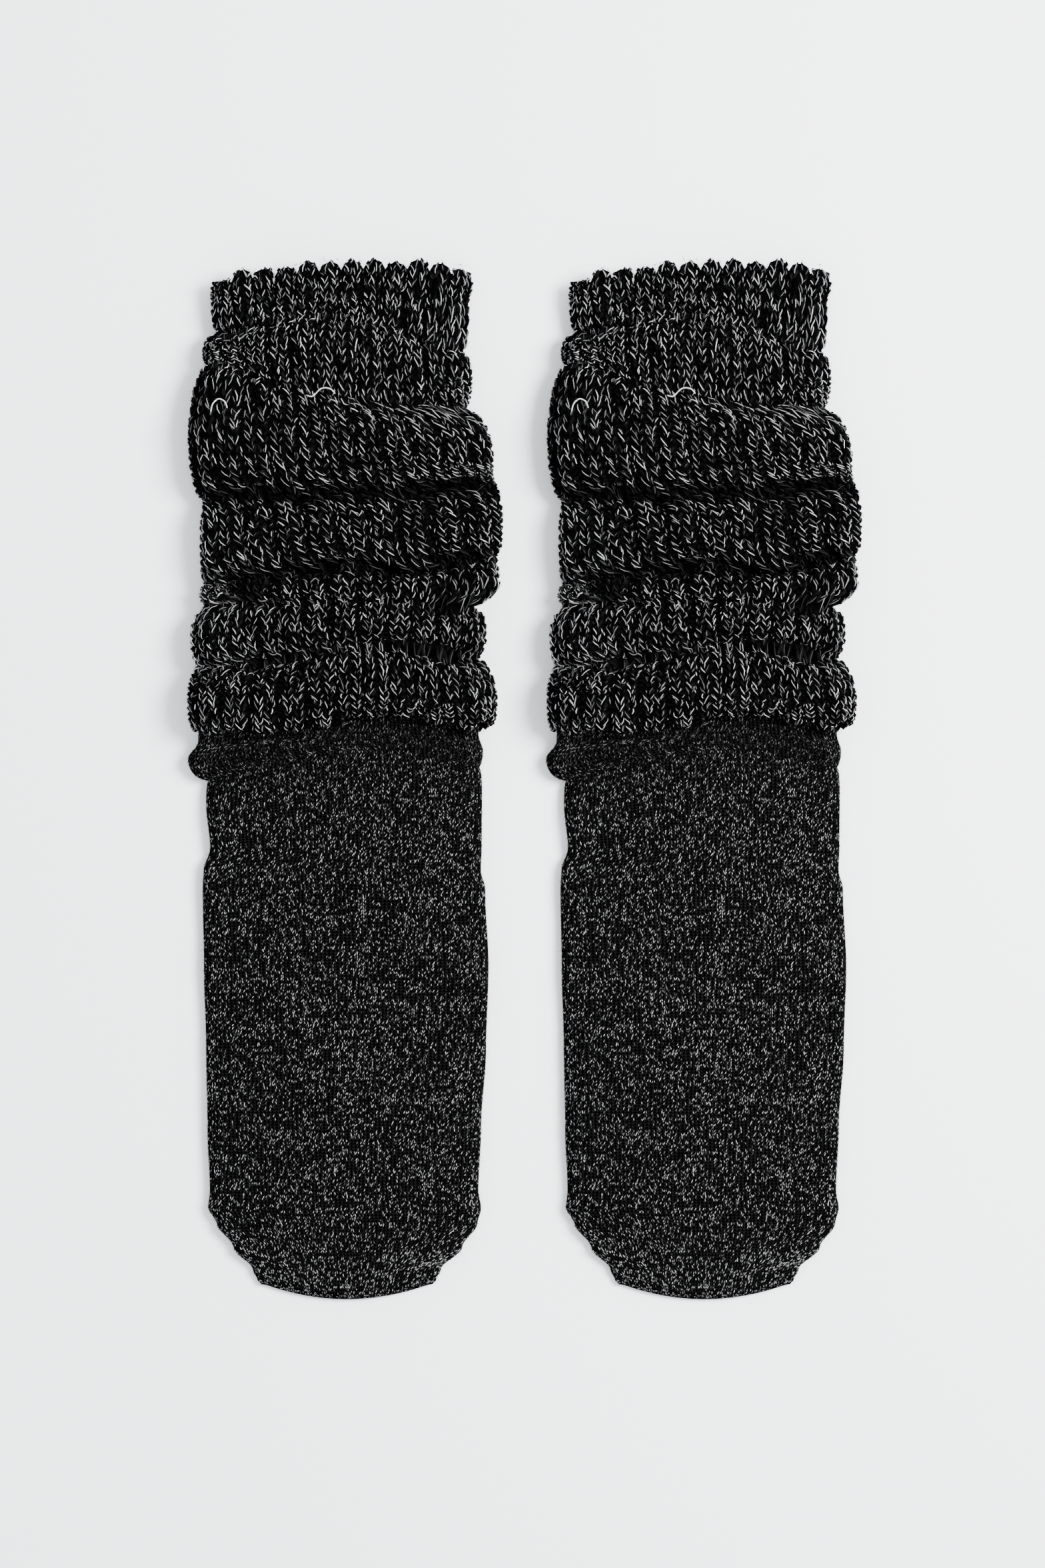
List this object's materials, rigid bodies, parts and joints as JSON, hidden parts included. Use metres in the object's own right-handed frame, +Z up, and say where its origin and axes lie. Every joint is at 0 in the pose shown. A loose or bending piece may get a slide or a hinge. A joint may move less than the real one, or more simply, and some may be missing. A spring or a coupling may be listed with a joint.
{
  "type": "pair of boot socks",
  "caption": "Pair of slouch boot socks laid flat side by side, each with a chunky ribbed leg pushed down into soft rolls over a fine plain foot.",
  "frame": {"origin": "on the surface under the middle of the pair's box", "axes": "+Y along the socks towards the open cuffs, +X towards the right sock, +Z up from the surface they lie on"},
  "size_m": [0.2168, 0.3354, 0.0194],
  "materials": {
    "chunky_marl": "matt chunky rib knit in black yarn with a thin off-white ply",
    "fine_marl": "matt fine plain knit in black yarn with a thin off-white ply"
  },
  "bodies": {
    "root": {"leg_left_front": "chunky_marl", "leg_left_back": "chunky_marl", "foot_left": "fine_marl", "leg_right_front": "chunky_marl", "leg_right_back": "chunky_marl", "foot_right": "fine_marl"}
  },
  "joints": []
}
